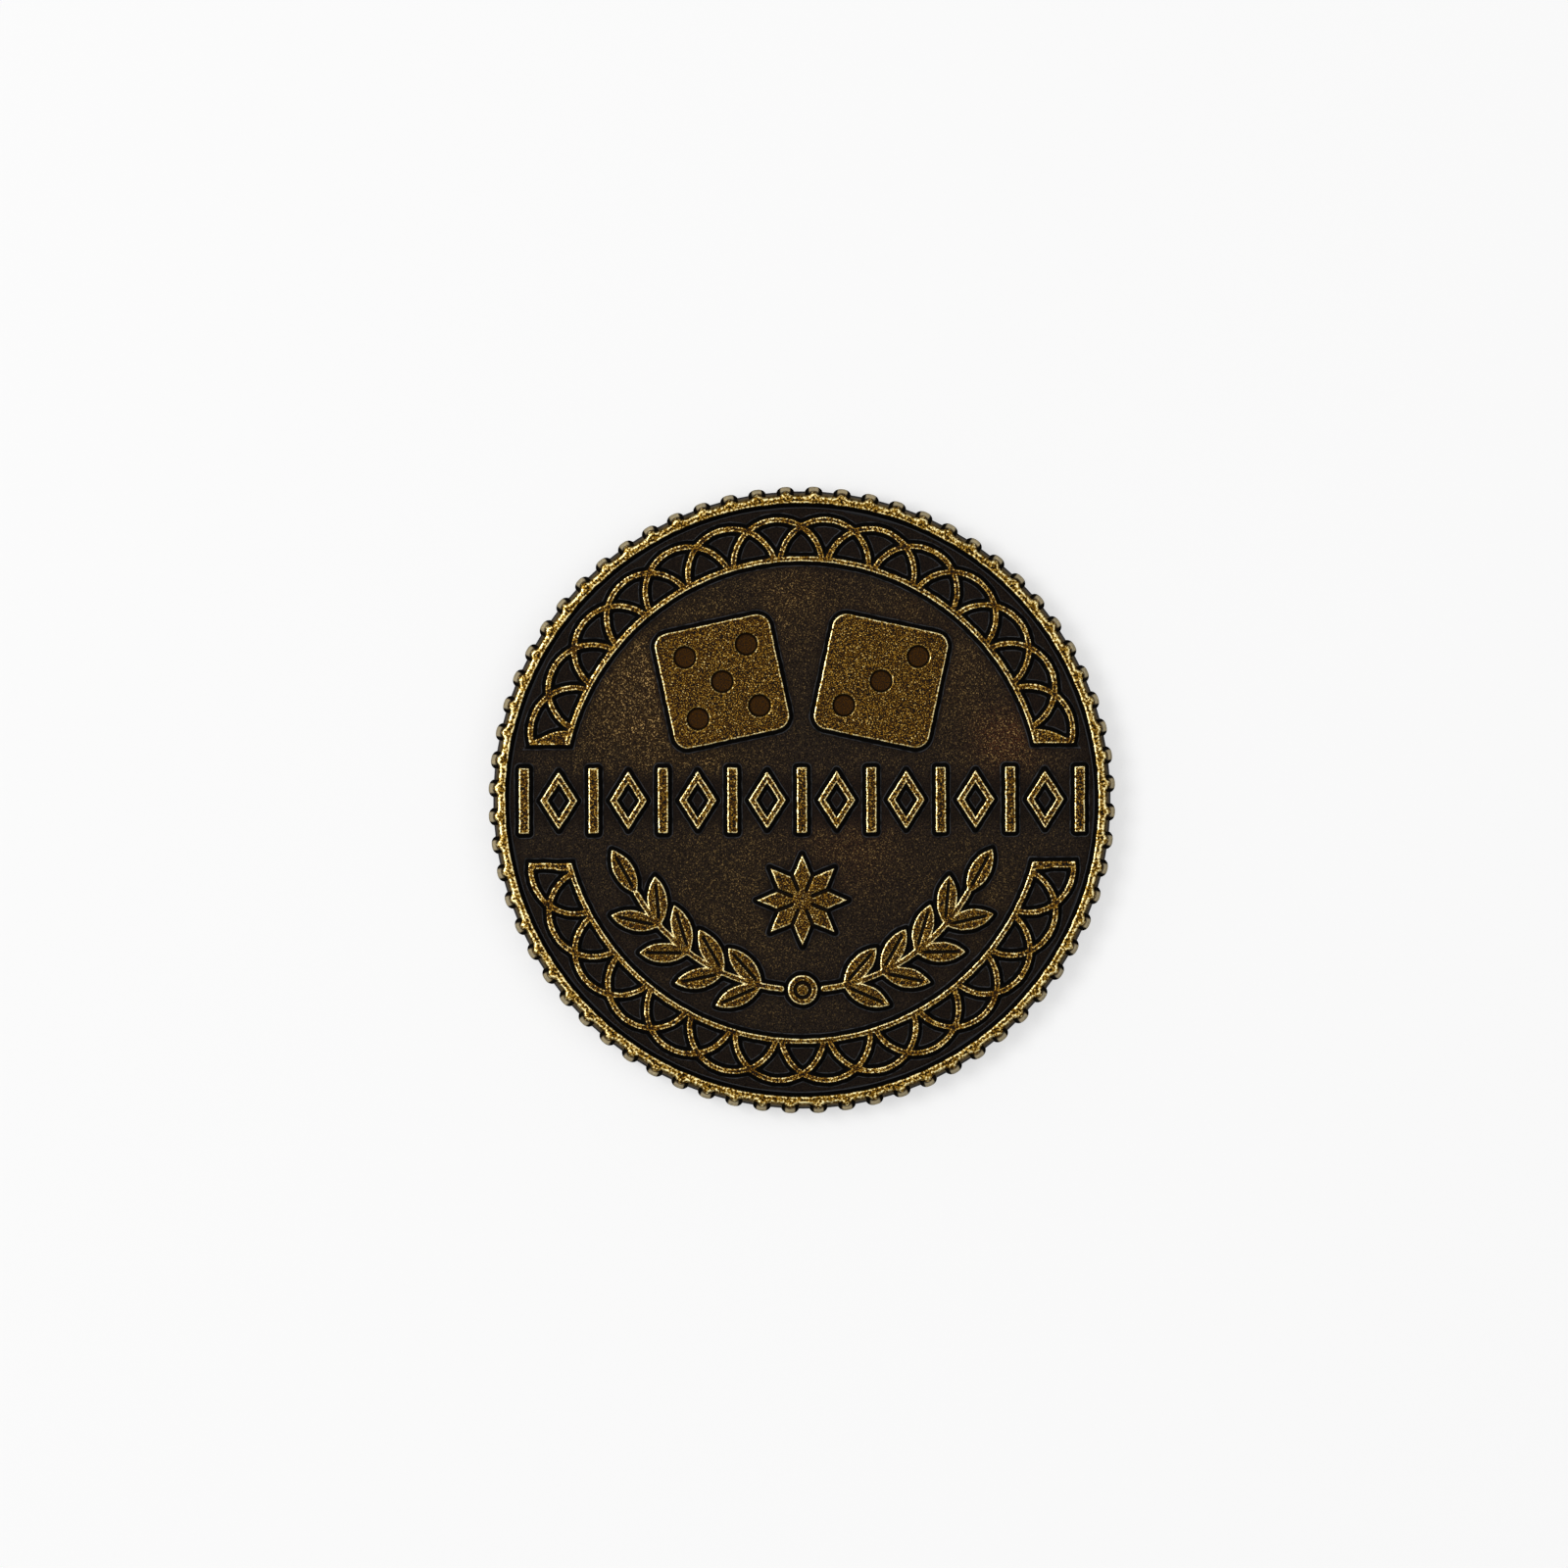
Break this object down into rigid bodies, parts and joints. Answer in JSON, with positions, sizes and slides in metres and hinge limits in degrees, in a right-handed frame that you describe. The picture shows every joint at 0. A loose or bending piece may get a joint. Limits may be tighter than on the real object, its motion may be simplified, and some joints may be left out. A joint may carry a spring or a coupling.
{
  "type": "game token",
  "caption": "Round cast metal game token with a coarsely reeded edge, raised rims, interlaced arc borders, a frieze band and dice, star and leaf emblems in relief on its faces.",
  "frame": {"origin": "middle of the back rim's plane, on which the token lies", "axes": "+Z out of the front face, +Y up on the front face, +X to its right"},
  "size_m": [0.04, 0.04, 0.003],
  "materials": {
    "dark_bronze": "antiqued bronze plating, dark patina in the fields, rubbed gold on the rims",
    "worn_bronze": "antiqued bronze plating, mottled brown flats with rubbed bright edges"
  },
  "bodies": {
    "root": {"blank": "dark_bronze", "front_upper_border": "worn_bronze", "front_lower_border": "worn_bronze", "front_band_bars": "worn_bronze", "front_band_lozenges": "worn_bronze", "front_left_die": "worn_bronze", "front_right_die": "worn_bronze", "front_star": "worn_bronze", "front_left_sprig": "worn_bronze", "front_right_sprig": "worn_bronze", "front_knot": "worn_bronze", "back_upper_border": "worn_bronze", "back_lower_border": "worn_bronze", "back_band_bars": "worn_bronze", "back_band_lozenges": "worn_bronze", "back_upper_star": "worn_bronze", "back_upper_left_sprig": "worn_bronze", "back_upper_right_sprig": "worn_bronze", "back_upper_knot": "worn_bronze", "back_lower_star": "worn_bronze", "back_lower_left_sprig": "worn_bronze", "back_lower_right_sprig": "worn_bronze", "back_lower_knot": "worn_bronze"}
  },
  "joints": []
}
